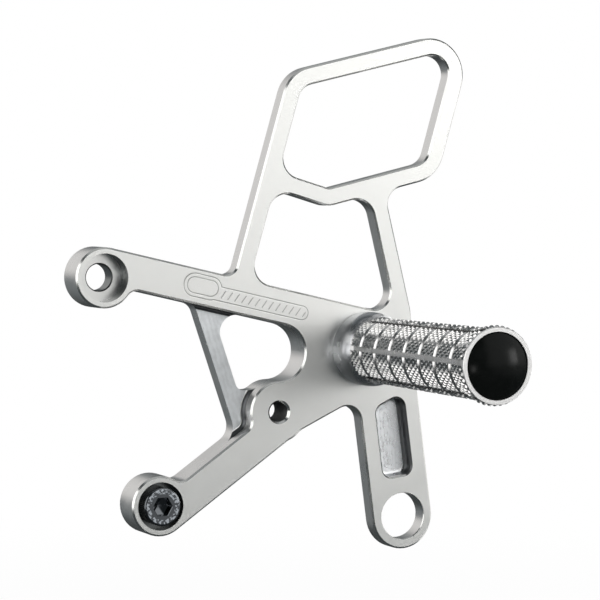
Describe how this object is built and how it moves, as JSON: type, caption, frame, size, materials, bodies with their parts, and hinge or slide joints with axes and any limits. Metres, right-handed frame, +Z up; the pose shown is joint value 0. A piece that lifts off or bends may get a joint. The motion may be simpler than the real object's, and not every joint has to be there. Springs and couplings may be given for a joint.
{
  "type": "rear sets footrest",
  "caption": "Left-hand rear-set footrest of a racing motorcycle: billet aluminium bracket with heel guard, arms and lower tab, and a fixed knurled peg with a black end plug",
  "frame": {"origin": "centre of the upper mounting hole, on the bracket's flat back face", "axes": "+X to the rear of the motorcycle, +Z up, -Y outboard along the peg; the peg's axis is parallel to the two mounting holes"},
  "size_m": [0.145, 0.1246, 0.1799],
  "materials": {
    "milled_aluminium": "satin",
    "turned_aluminium": "knurled",
    "plated_steel": "bright zinc plate",
    "black_plastic": "gloss"
  },
  "bodies": {
    "root": {"bracket": "milled_aluminium", "footpeg": "turned_aluminium", "peg_bolt": "plated_steel", "peg_lock_washer": "plated_steel", "peg_end_plug": "black_plastic", "lower_mounting_screw": "plated_steel"}
  },
  "joints": []
}
